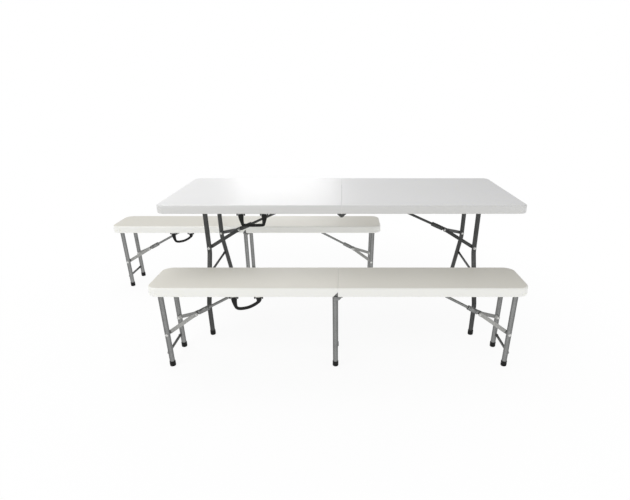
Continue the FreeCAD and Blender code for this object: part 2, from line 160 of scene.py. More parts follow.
def screw_spots(s, side):
    y = (rail_lane(s, side)[1] + flange_edge(s)) / 2
    spots = []
    for i in range(4):
        x = 0.060 + i * (s["leg_x"] - 0.110) / 3
        spots += [(side * x, -y), (side * x, y)]
    return spots + [(side * s["link_x"], -0.020), (side * s["link_x"], 0.020)]


# --- materials -----------------------------------------------------------------------
def node_tree(name):
    mat = bpy.data.materials.new(name)
    mat.use_nodes = True
    tree = mat.node_tree
    return mat, tree, tree.nodes["Principled BSDF"]


def add(tree, kind, **values):
    node = tree.nodes.new(kind)
    for key, value in values.items():
        if key in node.inputs:
            node.inputs[key].default_value = value
        else:
            setattr(node, key, value)
    return node


def noise(tree, coords, scale, detail=3.0, rough=0.5):
    node = add(tree, "ShaderNodeTexNoise", Scale=scale, Detail=detail, Roughness=rough)
    tree.links.new(coords, node.inputs["Vector"])
    return node.outputs["Fac"]


def ramp(tree, value, stops):
    node = tree.nodes.new("ShaderNodeValToRGB")
    first, last = node.color_ramp.elements[0], node.color_ramp.elements[1]
    first.position, first.color = stops[0][0], (*stops[0][1], 1)
    last.position, last.color = stops[-1][0], (*stops[-1][1], 1)
    for position, colour in stops[1:-1]:
        middle = node.color_ramp.elements.new(position)
        middle.color = (*colour, 1)
    tree.links.new(value, node.inputs["Fac"])
    return node.outputs["Color"]


def mix(tree, share, a, b, blend="MIX"):
    node = tree.nodes.new("ShaderNodeMix")
    node.data_type = "RGBA"
    node.blend_type = blend
    for socket, value in ((node.inputs[0], share), (node.inputs[6], a), (node.inputs[7], b)):
        if isinstance(value, bpy.types.NodeSocket):
            tree.links.new(value, socket)
        elif isinstance(value, (int, float)):
            socket.default_value = value
        else:
            socket.default_value = (*value, 1)
    return node.outputs[2]


def scaled(tree, value, low, high):
    node = tree.nodes.new("ShaderNodeMapRange")
    tree.links.new(value, node.inputs["Value"])
    node.inputs["To Min"].default_value = low
    node.inputs["To Max"].default_value = high
    return node.outputs["Result"]


def bump(tree, height, distance, strength=1.0, under=None):
    node = add(tree, "ShaderNodeBump", Strength=strength, Distance=distance)
    tree.links.new(height, node.inputs["Height"])
    if under is not None:
        tree.links.new(under, node.inputs["Normal"])
    return node.outputs["Normal"]


def plastic(name, top, side, rough):
    """Moulded polyethylene: fine pebble grain, faint blow-moulding waves and handling marks; upward faces
    take the top colour and the rest the side colour, as painted light and shade.
    """
    mat, tree, shader = node_tree(name)
    coords = tree.nodes.new("ShaderNodeTexCoord")
    place = coords.outputs["Object"]
    split = tree.nodes.new("ShaderNodeSeparateXYZ")
    tree.links.new(coords.outputs["Normal"], split.inputs[0])
    # Painted light and shade: faces turned upwards take the top colour, the rim and other faces the side
    # colour.
    painted_top_mask = add(tree, "ShaderNodeMapRange")
    tree.links.new(split.outputs["Z"], painted_top_mask.inputs["Value"])
    painted_top_mask.inputs["From Min"].default_value = 0.80
    painted_top_mask.inputs["From Max"].default_value = 0.99
    patch = noise(tree, place, 2.2, 2.0)
    dark_top = tuple(c * 0.965 for c in top)
    dark_side = tuple(c * 0.972 for c in side)
    painted_top_colour = mix(tree, patch, dark_top, top)
    painted_side_colour = mix(tree, patch, dark_side, side)
    # Painted light: side colour on the rim, top colour on upward faces.
    colour = mix(tree, painted_top_mask.outputs["Result"], painted_side_colour, painted_top_colour)
    specks = ramp(tree, noise(tree, place, 70.0, 6.0, 0.7), [(0.70, (1, 1, 1)), (0.80, (0.93, 0.92, 0.90))])
    colour = mix(tree, 0.6, colour, specks, "MULTIPLY")
    tree.links.new(colour, shader.inputs["Base Color"])
    wear = scaled(tree, noise(tree, place, 9.0, 5.0, 0.6), rough - 0.07, rough + 0.08)
    tree.links.new(wear, shader.inputs["Roughness"])
    grain = noise(tree, place, 1400.0, 2.0)
    waves = noise(tree, place, 7.0, 1.0)
    soft = bump(tree, waves, 0.0007, 0.55)
    tree.links.new(bump(tree, grain, 0.00012, 0.5, soft), shader.inputs["Normal"])
    shader.inputs["Subsurface Weight"].default_value = 0.08
    shader.inputs["Subsurface Radius"].default_value = (0.006, 0.006, 0.005)
    shader.inputs["Subsurface Scale"].default_value = 1.0
    return mat


def coated_steel(name, dark, light, rough=0.36, metal=0.45):
    """Hammered grey coating: small cells, a little dust, worn bright in spots; a painted highlight where it
    faces the view and painted shade towards its edges.
    """
    mat, tree, shader = node_tree(name)
    place = tree.nodes.new("ShaderNodeTexCoord").outputs["Object"]
    cells = add(tree, "ShaderNodeTexVoronoi", Scale=420.0)
    tree.links.new(place, cells.inputs["Vector"])
    cell_tone = scaled(tree, cells.outputs["Distance"], 0.0, 1.0)
    colour = ramp(tree, cell_tone, [(0.10, light), (0.62, dark)])
    dust = scaled(tree, noise(tree, place, 14.0, 5.0, 0.65), 0.0, 0.28)
    colour = mix(tree, dust, colour, tuple(min(1, c * 1.5 + 0.02) for c in light))
    scuffs = ramp(tree, noise(tree, place, 60.0, 8.0, 0.75), [(0.72, (0, 0, 0)), (0.78, (1, 1, 1))])
    colour = mix(tree, scaled(tree, scuffs, 0.0, 0.35), colour, (0.42, 0.42, 0.41))
    # Painted highlight and shade: the colour is multiplied lighter where the surface faces the view and
    # darker towards its grazing edges.
    facing_for_painted_sheen = add(tree, "ShaderNodeLayerWeight", Blend=0.5).outputs["Facing"]
    painted_sheen = ramp(tree, facing_for_painted_sheen, [(0.05, (1, 1, 1)), (0.30, (0.62, 0.62, 0.62)), (0.75, (0.30, 0.30, 0.30))])
    colour = mix(tree, 1.0, colour, painted_sheen, "MULTIPLY")
    tree.links.new(colour, shader.inputs["Base Color"])
    shader.inputs["Metallic"].default_value = metal
    tree.links.new(scaled(tree, noise(tree, place, 30.0, 4.0), rough - 0.08, rough + 0.12),
                   shader.inputs["Roughness"])
    tree.links.new(bump(tree, cells.outputs["Distance"], 0.00035, 0.35), shader.inputs["Normal"])
    return mat


def zinc(name):
    """Bright zinc plate with turning marks and a few dull spots."""
    mat, tree, shader = node_tree(name)
    place = tree.nodes.new("ShaderNodeTexCoord").outputs["Object"]
    tone = noise(tree, place, 220.0, 4.0)
    colour = ramp(tree, tone, [(0.3, (0.55, 0.55, 0.53)), (0.7, (0.80, 0.80, 0.78))])
    tree.links.new(colour, shader.inputs["Base Color"])
    shader.inputs["Metallic"].default_value = 1.0
    tree.links.new(scaled(tree, noise(tree, place, 90.0, 4.0), 0.20, 0.42), shader.inputs["Roughness"])
    tree.links.new(bump(tree, noise(tree, place, 900.0, 2.0), 0.0001, 0.4), shader.inputs["Normal"])
    return mat


def black(name, shade, rough, scale):
    """Black rubber or plastic with a fine grain and grey dust in the low spots."""
    mat, tree, shader = node_tree(name)
    place = tree.nodes.new("ShaderNodeTexCoord").outputs["Object"]
    dust = scaled(tree, noise(tree, place, 40.0, 6.0, 0.7), 0.0, 0.12)
    dusty = (shade * 3 + 0.01, shade * 3 + 0.01, shade * 3 + 0.009)
    colour = mix(tree, dust, (shade, shade, shade), dusty)
    tree.links.new(colour, shader.inputs["Base Color"])
    tree.links.new(scaled(tree, noise(tree, place, 25.0, 3.0), rough - 0.06, rough + 0.10),
                   shader.inputs["Roughness"])
    shader.inputs["Specular IOR Level"].default_value = 0.25
    tree.links.new(bump(tree, noise(tree, place, scale, 2.0), 0.00015, 0.5), shader.inputs["Normal"])
    return mat


MATERIALS = {
    # Plastic colours are (top, side): painted light makes the table top lighter than its rim, and painted
    # shade makes the bench top darker than its rim.
    "table_plastic": plastic("table_plastic", (0.88, 0.88, 0.88), (0.68, 0.68, 0.67), 0.40),
    "bench_plastic": plastic("bench_plastic", (0.73, 0.71, 0.645), (0.90, 0.90, 0.86), 0.44),
    # One grey coating in three tones: table_steel is darkened with painted shade for the legs under the
    # table top, and arm_steel is lightened with a painted highlight for the bench brace arms.
    "table_steel": coated_steel("table_steel", (0.042, 0.043, 0.042), (0.11, 0.112, 0.11), 0.32, 0.6),
    "bench_steel": coated_steel("bench_steel", (0.19, 0.193, 0.19), (0.39, 0.395, 0.39), 0.30, 0.65),
    "arm_steel": coated_steel("arm_steel", (0.33, 0.33, 0.318), (0.54, 0.54, 0.52), 0.34, 0.5),
    "zinc_fixings": zinc("zinc_fixings"),
    "foot_rubber": black("foot_rubber", 0.006, 0.60, 700.0),
    "handle_plastic": black("handle_plastic", 0.005, 0.48, 1100.0),
}


# --- mesh helpers ---------------------------------------------------------------------
def mesh_object(name, verts, faces, smooth=True):
    data = bpy.data.meshes.new(name)
    data.from_pydata([tuple(v) for v in verts], [], faces)
    data.validate()
    obj = bpy.data.objects.new(name, data)
    bpy.context.scene.collection.objects.link(obj)
    fix = bmesh.new()
    fix.from_mesh(data)
    bmesh.ops.remove_doubles(fix, verts=fix.verts, dist=1e-7)
    bmesh.ops.recalc_face_normals(fix, faces=fix.faces)
    fix.to_mesh(data)
    fix.free()
    if smooth:
        smooth_by_angle(data)
    return obj


def smooth_by_angle(data, degrees=38.0):
    """Smooth shading with sharp edges where faces meet at a steep angle."""
    work = bmesh.new()
    work.from_mesh(data)
    limit = math.radians(degrees)
    for face in work.faces:
        face.smooth = True
    for edge in work.edges:
        edge.smooth = len(edge.link_faces) == 2 and edge.calc_face_angle(0.0) < limit
    work.to_mesh(data)
    work.free()


def join(name, objects):
    """One object from several; the first gives the frame."""
    bpy.ops.object.select_all(action="DESELECT")
    for obj in objects:
        obj.select_set(True)
    bpy.context.view_layer.objects.active = objects[0]
    if len(objects) > 1:
        bpy.ops.object.join()
    objects[0].name = name
    objects[0].data.name = name
    return objects[0]


def finish_piece(obj, body, slot, *nodes):
    """Give a piece its material and body, and hide the CAD nodes it stands for."""
    obj.data.materials.clear()
    obj.data.materials.append(MATERIALS[slot])
    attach(obj, body)
    if nodes:
        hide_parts(*nodes)


def rounded_path(points, bend):
    """Points along a polyline with its corners rounded."""
    out = [points[0]]
    for i in range(1, len(points) - 1):
        before, corner, after = points[i - 1], points[i], points[i + 1]
        d1 = (before - corner).normalized()
        d2 = (after - corner).normalized()
        turn = math.pi - d1.angle(d2)
        cut = bend * math.tan(turn / 2)
        centre = corner + (d1 + d2).normalized() * (bend / math.cos(turn / 2))
        a, b = corner + d1 * cut - centre, corner + d2 * cut - centre
        steps = max(4, int(turn / math.radians(4)))
        for k in range(steps + 1):
            share = k / steps
            arc = (a * math.sin((1 - share) * turn) + b * math.sin(share * turn)) / math.sin(turn)
            out.append(centre + arc)
    out.append(points[-1])
    return out


def ring_faces(rings, sides, ends=True):
    """Faces that join a stack of rings of vertices, with a cap at each end."""
    faces = []
    for i in range(rings - 1):
        for k in range(sides):
            n = (k + 1) % sides
            faces.append((i * sides + k, i * sides + n, (i + 1) * sides + n, (i + 1) * sides + k))
    if ends:
        faces.append(tuple(range(sides - 1, -1, -1)))
        faces.append(tuple((rings - 1) * sides + k for k in range(sides)))
    return faces


def tube(name, points, radius, sides=40):
    """A closed round bar swept along points."""
    verts = []
    tangent = (points[1] - points[0]).normalized()
    side = tangent.orthogonal().normalized()
    if abs(tangent.y) < 0.95:
        side = tangent.cross(Vector((0, 1, 0))).normalized()
    for i, p in enumerate(points):
        ahead = points[min(i + 1, len(points) - 1)]
        behind = points[max(i - 1, 0)]
        new_tangent = (ahead - behind).normalized()
        side = (side - new_tangent * side.dot(new_tangent)).normalized()
        up = new_tangent.cross(side)
        for k in range(sides):
            a = 2 * math.pi * k / sides
            verts.append(p + side * (radius * math.cos(a)) + up * (radius * math.sin(a)))
    return mesh_object(name, verts, ring_faces(len(points), sides))


def lathe(name, profile, origin, axis, sides=44):
    """A solid of revolution: profile is (radius, height) pairs along the axis."""
    axis = Vector(axis).normalized()
    side = axis.orthogonal().normalized()
    up = axis.cross(side)
    verts = []
    for r, h in profile:
        for k in range(sides):
            a = 2 * math.pi * k / sides
            verts.append(origin + axis * h + side * (r * math.cos(a)) + up * (r * math.sin(a)))
    return mesh_object(name, verts, ring_faces(len(profile), sides, profile[0] != profile[-1]))


def flatten_large(data):
    """Shade large faces flat, so that the roundings beside them do not tint them."""
    for face in data.polygons:
        if face.area > 0.0003:
            face.use_smooth = False


def refined(name, node, width, degrees=30.0):
    """A piece shaped like a CAD node, with its sharp edges rounded."""
    data = frame["nodes"][node].data.copy()
    data.name = name
    obj = bpy.data.objects.new(name, data)
    bpy.context.scene.collection.objects.link(obj)
    work = bmesh.new()
    work.from_mesh(data)
    bmesh.ops.remove_doubles(work, verts=work.verts, dist=2e-6)
    bmesh.ops.dissolve_limit(work, angle_limit=math.radians(1.0), verts=work.verts,
                             edges=work.edges)
    limit = math.radians(degrees)
    sharp = [e for e in work.edges
             if len(e.link_faces) == 2 and e.calc_face_angle(0.0) > limit]
    bmesh.ops.bevel(work, geom=sharp, offset=width, segments=2, profile=0.6,
                    affect="EDGES", clamp_overlap=True)
    work.to_mesh(data)
    work.free()
    smooth_by_angle(data, 32.0)
    flatten_large(data)
    data.materials.clear()
    return obj


# --- moulded halves ---------------------------------------------------------------------
def outline(s, side, inset, seam_x, steps=12):
    """Corner points of a half's outline, from the front seam corner round to the back one."""
    end = s["length"] / 2 - inset
    edge = s["width"] / 2 - inset
    r = max(0.004, s["corner"] - inset)
    points = [(seam_x, -edge)]
    for k in range(steps + 1):
        a = -math.pi / 2 + k * math.pi / 2 / steps
        points.append((end - r + r * math.cos(a), -edge + r + r * math.sin(a)))
    for k in range(steps + 1):
        a = k * math.pi / 2 / steps
        points.append((end - r + r * math.cos(a), edge - r + r * math.sin(a)))
    points.append((seam_x, edge))
    return [(side * x, y) for x, y in points]


def dimple_centres(s):
    """Where the deck is pressed up from below, clear of the steelwork."""
    step_x, step_y = s["dimples"]
    rows = int((rail_lane(s, 1)[0] - 0.028) // step_y)
    spots = []
    x = FIRST_DIMPLE
    while x < s["length"] / 2 - s["wall"] - 0.030:
        for row in range(-rows, rows + 1):
            if abs(x - s["link_x"]) >= 0.042 or abs(row * step_y) >= 0.042:
                spots.append((x, row * step_y))
        x += step_x
    return spots


def dimples(s, side):
    """Closed domes, one per dimple, that are taken out of the deck from below."""
    below, wide = 0.0012, DIMPLE_R + 0.0002
    profile = [(0.0, -below), (wide, -below), (wide, -below / 4)]
    for k in range(1, 8):
        share = k / 7
        rise = DIMPLE_DEPTH * share * share * (3 - 2 * share)
        profile.append((DIMPLE_R - (DIMPLE_R - DIMPLE_FLAT) * share, rise))
    profile.append((0.0, DIMPLE_DEPTH))
    domes = []
    for x, y in dimple_centres(s):
        spot = s["at"] + Vector((side * x, y, deck_bottom(s)))
        domes.append(lathe("dimples", profile, spot, (0, 0, 1), 26))
    return join("dimples", domes)


def loop_solid(name, s, side, loops):
    """A closed solid through a stack of half outlines given as (inset, seam x, height)."""
    verts = []
    for inset, seam_x, z in loops:
        verts += [s["at"] + Vector((x, y, z)) for x, y in outline(s, side, inset, seam_x)]
    return mesh_object(name, verts, ring_faces(len(loops), len(verts) // len(loops)))


def cut_away(obj, cutter):
    """Take the cutter's shape out of obj and delete the cutter."""
    change = obj.modifiers.new("cut", "BOOLEAN")
    change.operation = "DIFFERENCE"
    change.solver = "EXACT"
    change.object = cutter
    depsgraph = bpy.context.evaluated_depsgraph_get()
    done = bpy.data.meshes.new_from_object(obj.evaluated_get(depsgraph))
    obj.modifiers.clear()
    obj.data = done
    bpy.data.objects.remove(cutter)


def seam_notch(s):
    """Wedge that leaves the slanted notch where the middle leg meets the seam."""
    z, half, size = rim_bottom(s), s["width"] / 2 + 0.01, 0.025
    corners = [(0.002, z - 0.002), (-size - 0.002, z - 0.002), (0.002, z + size + 0.002)]
    verts = [s["at"] + Vector((x, y, h)) for y in (-half, half) for x, h in corners]
    return mesh_object("notch", verts, [(0, 1, 2), (5, 4, 3), (0, 3, 4, 1), (1, 4, 5, 2), (2, 5, 3, 0)],
                       False)


def outer_loops(s):
    """Rim and top of one half: rounded lips and a faint mould line round the rim."""
    z0, z1 = rim_bottom(s), s["height"]
    top_r, low_r, line = 0.0085, 0.0055, z0 + s["rim"] * 0.36
    loops = []
    for k in range(6):
        a = math.pi / 2 * k / 5
        seam = SEAM + 0.0012 * (1 - math.sin(a))
        loops.append((low_r * (1 - math.sin(a)), seam, z0 + low_r * (1 - math.cos(a))))
    loops += [(0.0004, SEAM, line - 0.0012), (0.0008, SEAM, line), (0.0003, SEAM, line + 0.0008),
              (0.0006, SEAM, z1 - top_r - 0.004)]
    for k in range(9):
        a = math.pi / 2 * k / 8
        seam = SEAM + 0.0006 * (1 - math.cos(a))
        loops.append((0.0006 + top_r * (1 - math.cos(a)), seam, z1 - top_r * (1 - math.sin(a))))
    loops.append((top_r + 0.0030, SEAM + 0.0025, z1))
    loops.append((top_r + 0.0060, SEAM + 0.0050, z1))
    return loops


def skin(s, side):
    """One moulded half with rounded lips; its underside is a dimpled deck inside a rim."""
    word = "left" if side < 0 else "right"
    z0, zu, wall = rim_bottom(s), deck_bottom(s), s["wall"]
    open_seam = side < 0 and s["centre_x"] is not None
    wall_x = -0.020 if open_seam else 0.0085
    obj = loop_solid(s["name"] + "_skin_" + word, s, side, outer_loops(s))
    pocket = [(wall - 0.0046, wall_x - 0.0020, z0 - 0.002), (wall - 0.004, wall_x - 0.0020, z0),
              (wall - 0.0012, wall_x - 0.0006, z0 + 0.0012), (wall, wall_x, z0 + 0.004),
              (wall, wall_x, zu)]
    cut_away(obj, loop_solid("pocket", s, side, pocket))
    cut_away(obj, dimples(s, side))
    if open_seam:
        cut_away(obj, seam_notch(s))
    smooth_by_angle(obj.data)
    flatten_large(obj.data)
    finish_piece(obj, s["name"] + "_" + word + "_half", s["skin"], s["name"] + "_panel_" + word)


# --- legs ------------------------------------------------------------------------------------
def weld(name, centre, axis, radius, rng):
    """A rough fillet bead round a joint between two tubes."""
    axis = Vector(axis).normalized()
    side = axis.orthogonal().normalized()
    up = axis.cross(side)
    verts, faces = [], []
    around, section = 56, 8
    for k in range(around):
        a = 2 * math.pi * k / around
        out = side * math.cos(a) + up * math.sin(a)
        bead = 0.0017 * (1 + 0.16 * math.sin(a * 17) + rng.uniform(-0.10, 0.10))
        for m in range(section):
            b = 2 * math.pi * m / section
            verts.append(centre + out * (radius + bead * math.cos(b)) + axis * (bead * math.sin(b)))
    for k in range(around):
        n = (k + 1) % around
        for m in range(section):
            j = (m + 1) % section
            faces.append((k * section + m, n * section + m, n * section + j, k * section + j))
    return mesh_object(name, verts, faces)


def cross_bar(name, s, x, z, half, radius, sides=40):
    """A round bar along Y with slightly rounded ends."""
    profile = [(radius - 0.0008, -half), (radius, -half + 0.0008), (radius, half - 0.0008),
               (radius - 0.0008, half)]
    return lathe(name, profile, s["at"] + Vector((x, 0, z)), (0, 1, 0), sides)


def leg_path(s, side, sign):
    top = leg_pivot(s)[1]
    marks = [(top, s["spread"]), (s["splay_top"], s["spread"]),
             (s["splay_low"], s["foot_spread"]), (TUBE_FOOT, s["foot_spread"])]
    if s["spread"] == s["foot_spread"]:
        marks = [marks[0], marks[-1]]
    points = [s["at"] + Vector((side * on_leg(s, top - z), sign * y, z)) for z, y in marks]
    return rounded_path(points, LEG_BEND)


def bar_reach(s):
    share = (s["splay_top"] - s["bar_z"]) / (s["splay_top"] - s["splay_low"])
    share = min(1.0, max(0.0, share))
    return s["spread"] + (s["foot_spread"] - s["spread"]) * share


def end_leg(s, side):
    word = "left" if side < 0 else "right"
    rng = random.Random(5 + side)
    name = s["name"] + "_leg_frame_" + word
    x, top = leg_pivot(s)
    reach = rail_lane(s, side)[0] - 0.002
    parts = [cross_bar(name, s, side * x, top, reach, PIVOT_R),
             cross_bar(name + "_spigot", s, side * x, top, reach + 0.008, SPIGOT_R, 24)]
    for sign in (-1, 1):
        parts.append(tube(name + "_tube", leg_path(s, side, sign), TUBE_R))
        crown = s["at"] + Vector((side * x, sign * s["spread"], top - PIVOT_R * 0.90))
        parts.append(weld(name + "_weld", crown, (0, 0, 1), TUBE_R, rng))
    bar_x = on_leg(s, top - s["bar_z"]) + s["bar_offset"]
    half = bar_reach(s)
    parts.append(cross_bar(name + "_bar", s, side * bar_x, s["bar_z"], half, BAR_R, 28))
    for sign in (-1, 1):
        spot = s["at"] + Vector((side * bar_x, sign * (half - TUBE_R * 0.72), s["bar_z"]))
        parts.append(weld(name + "_weld", spot, (0, 1, 0), BAR_R, rng))
    leg = join(name, parts)
    body = s["name"] + "_end_leg_" + word
    finish_piece(leg, body, s["steel"], s["name"] + "_leg_" + word)
    feet = on_leg(s, top - 0.014)
    rubber_feet(s, side * feet, s["foot_spread"], body, s["name"] + "_feet_" + word,
                s["name"] + "_leg_caps_" + word)
    leg_rivets(s, side, body, word)


def centre_leg(s):
    name = s["name"] + "_centre_frame"
    rng = random.Random(9)
    x, top = s["centre_x"], leg_pivot(s)[1]
    reach = rail_lane(s, -1)[0] - 0.002
    parts = [cross_bar(name, s, x, top, reach, PIVOT_R),
             cross_bar(name + "_spigot", s, x, top, reach + 0.008, SPIGOT_R, 24)]
    for sign in (-1, 1):
        foot = s["at"] + Vector((x, sign * s["spread"], TUBE_FOOT))
        head = s["at"] + Vector((x, sign * s["spread"], top))
        parts.append(tube(name + "_tube", [head, foot], TUBE_R))
        parts.append(weld(name + "_weld", head - Vector((0, 0, PIVOT_R * 0.90)), (0, 0, 1), TUBE_R, rng))
        spot = s["at"] + Vector((x, sign * (s["spread"] - TUBE_R), s["bar_z"]))
        parts.append(weld(name + "_weld", spot, (0, 1, 0), BAR_R, rng))
    parts.append(cross_bar(name + "_bar", s, x, s["bar_z"], s["spread"], BAR_R, 28))
    leg = join(name, parts)
    body = s["name"] + "_middle_leg"
    finish_piece(leg, body, s["steel"], s["name"] + "_centre_leg")
    rubber_feet(s, x, s["spread"], body, s["name"] + "_feet_centre", s["name"] + "_centre_leg_caps")


def rubber_feet(s, x, spread, body, name, node):
    """Moulded rubber cups with a rolled mouth, two grip grooves and a domed sole."""
    r = 0.0144
    profile = [(0.0, 0.0), (r - 0.0042, 0.0), (r - 0.0016, 0.0009), (r - 0.0002, 0.0030), (r, 0.0055)]
    for groove in (0.0085, 0.0135):
        profile += [(r, groove - 0.0010), (r - 0.0008, groove - 0.0005),
                    (r - 0.0008, groove + 0.0005), (r, groove + 0.0010)]
    profile += [(r - 0.0002, 0.0225), (r, 0.0245), (r - 0.0001, 0.0264), (r - 0.0008, 0.0277),
                (r - 0.0013, 0.0280), (TUBE_R + 0.0001, 0.0276), (TUBE_R + 0.0001, 0.0070), (0.0, 0.0070)]
    feet = []
    for sign in (-1, 1):
        spot = s["at"] + Vector((x, sign * spread, 0))
        feet.append(lathe(name, profile, spot, (0, 0, 1), 48))
    finish_piece(join(name, feet), body, "foot_rubber", node)


def dome(name, spot, axis, radius, tall):
    """A rivet head on a thin washer, pointing along axis."""
    sunk, washer, washer_r = 0.0002, 0.0009, radius * 1.12
    profile = [(0.0, -sunk), (washer_r, -sunk), (washer_r, washer - 0.0003), (radius, washer)]
    for k in range(1, 7):
        a = math.pi / 2 * k / 6
        profile.append((radius * math.cos(a), washer + (tall - washer) * math.sin(a)))
    return lathe(name, profile, spot, axis, 32)


def leg_rivets(s, side, body, word):
    x, z = arm_pivot(s)
    name = s["name"] + "_rivets_" + word
    outer = s["spread"] + TUBE_R
    inner = s["spread"] - TUBE_R - 0.0006 - ARM_STEEL - 0.0003
    parts = []
    for sign in (-1, 1):
        spot = s["at"] + Vector((side * x, sign * outer, z))
        parts.append(dome(name, spot, (0, sign, 0), 0.0064, 0.0023))
        spot = s["at"] + Vector((side * x, sign * inner, z))
        parts.append(dome(name, spot, (0, -sign, 0), 0.0058, 0.0026))
        middle = s["at"] + Vector((side * x, sign * (outer + inner) / 2, z))
        half = (outer - inner) / 2
        parts.append(lathe(name, [(PIN_R, -half), (PIN_R, half)], middle, (0, 1, 0), 24))
    finish_piece(join(name, parts), body, "zinc_fixings", s["name"] + "_leg_rivets_" + word)


# --- braces -------------------------------------------------------------------------------------
def brace_rod(s, side):
    word = "left" if side < 0 else "right"
    name = s["name"] + "_rod_piece_" + word
    px, pz = link_pivot(s)
    jx, jz = knuckle(s)
    p = s["at"] + Vector((side * px, 0, pz))
    j = s["at"] + Vector((side * jx, 0, jz))
    steps = [p.lerp(j, k / 24) for k in range(25)]
    parts = [tube(name, steps, ROD_R, 32)]
    parts.append(cross_bar(name, s, side * px, pz, 0.0084, 0.0072, 36))
    parts.append(cross_bar(name, s, side * jx, jz, 0.0124, 0.0080, 36))
    parts.append(cross_bar(name, s, side * px, pz, 0.0120, PIN_R, 24))
    for sign in (-1, 1):
        spot = s["at"] + Vector((side * px, sign * 0.0118, pz))
        parts.append(dome(name, spot, (0, sign, 0), 0.0056, 0.0024))
    finish_piece(join(name, parts), s["name"] + "_rod_" + word, s["steel"],
                 s["name"] + "_brace_rod_" + word)


def lock_sleeve(s, side):
    """Rolled steel sleeve with turned-in ends and a pressed finger groove."""
    word = "left" if side < 0 else "right"
    name = s["name"] + "_sleeve_piece_" + word
    px, pz = link_pivot(s)
    jx, jz = knuckle(s)
    up = Vector((side * (px - jx), 0, pz - jz)).normalized()
    start = s["at"] + Vector((side * jx, 0, jz)) + up * 0.0095
    long = s["sleeve"]
    r, bore = 0.0120, ROD_R + 0.0004
    profile = [(bore, 0.0), (r - 0.0022, 0.0), (r - 0.0006, 0.0010), (r, 0.0030), (r, 0.009),
               (r - 0.0010, 0.0105), (r - 0.0010, 0.0125), (r, 0.014), (r, long - 0.014),
               (r - 0.0010, long - 0.0125), (r - 0.0010, long - 0.0105), (r, long - 0.009),
               (r, long - 0.003), (r - 0.0006, long - 0.001), (r - 0.0022, long), (bore, long)]
    obj = lathe(name, profile + profile[:1], start, up, 48)
    finish_piece(obj, s["name"] + "_sleeve_" + word, s["steel"], s["name"] + "_lock_sleeve_" + word)


def arms(s, side):
    word = "left" if side < 0 else "right"
    name = s["name"] + "_arms_piece_" + word
    node = s["name"] + "_brace_arms_" + word
    strips = refined(name, node, 0.0009)
    body = s["name"] + "_arms_" + word
    finish_piece(strips, body, s["arms"], node)
    jx, jz = knuckle(s)
    heads = []
    for sign in (-1, 1):
        spot = s["at"] + Vector((side * jx, sign * (0.0128 + ARM_STEEL), jz))
        heads.append(dome(name, spot, (0, sign, 0), 0.0068, 0.0038))
    rivets = join(s["name"] + "_knuckle_rivets_" + word, heads)
    finish_piece(rivets, body, "zinc_fixings")


# --- steel under the halves ------------------------------------------------------------------------
def under_steel(s, side):
    """Rails, bracket and hinge leaves; the handle saddles of the left half are black."""
    word = "left" if side < 0 else "right"
    body = s["name"] + "_" + word + "_half"
    node = s["name"] + "_rails_" + word
    steel = refined(s["name"] + "_steelwork_" + word, node, 0.0005)
    finish_piece(steel, body, s["steel"], node)
    if side < 0:
        blacken_saddles(s, steel)


def blacken_saddles(s, steel):
    """Give the faces of the four handle saddles the black plastic."""
    steel.data.materials.append(MATERIALS["handle_plastic"])
    middle = s["at"] + Vector((s["handle_x"], -s["width"] / 2, rim_bottom(s)))
    for face in steel.data.polygons:
        away = face.center - middle
        if abs(away.x) < 0.090 and abs(away.y) < 0.030 and -0.012 < away.z < 0.0005:
            face.material_index = 1


def screw_heads(s, side):
    """Pan heads with a cross recess."""
    word = "left" if side < 0 else "right"
    name = s["name"] + "_screw_heads_" + word
    z = deck_bottom(s) - STEEL
    parts = []
    for x, y in screw_spots(s, side):
        spot = s["at"] + Vector((x, y, z))
        profile = [(0.0, 0.0), (0.0044, 0.0), (0.0044, 0.0007), (0.0040, 0.0016), (0.0030, 0.0024),
                   (0.0018, 0.0028), (0.0011, 0.0029), (0.0008, 0.0016), (0.0, 0.0014)]
        parts.append(lathe(name, profile, spot, (0, 0, -1), 28))
    nodes = []
    if s["name"] == "table":
        nodes = ["table_screws_" + word]
    finish_piece(join(name, parts), s["name"] + "_" + word + "_half", "zinc_fixings", *nodes)


def hinge_pins(s):
    node = s["name"] + "_hinge_pins"
    finish_piece(refined(s["name"] + "_hinge_bolts", node, 0.0006), s["name"] + "_left_half",
                 s["steel"], node)


# --- carry handle ---------------------------------------------------------------------------------------
def handle_strap(path, widths, thick, sides=28, squareness=0.55):
    """Vertices and faces of a rounded strap along path, with its width and thickness per point."""
    verts = []
    for i, p in enumerate(path):
        ahead = path[min(i + 1, len(path) - 1)]
        behind = path[max(i - 1, 0)]
        tangent = (ahead - behind).normalized()
        flat = tangent.cross(Vector((0, 1, 0))).normalized()
        w, t = widths[i] / 2, thick[i] / 2
        for k in range(sides):
            a = 2 * math.pi * k / sides
            c, q = math.cos(a), math.sin(a)
            u = math.copysign(abs(c) ** squareness, c) * w
            v = math.copysign(abs(q) ** squareness, q) * t
            verts.append(p + flat * u + Vector((0, 1, 0)) * v)
    return verts, ring_faces(len(path), sides)


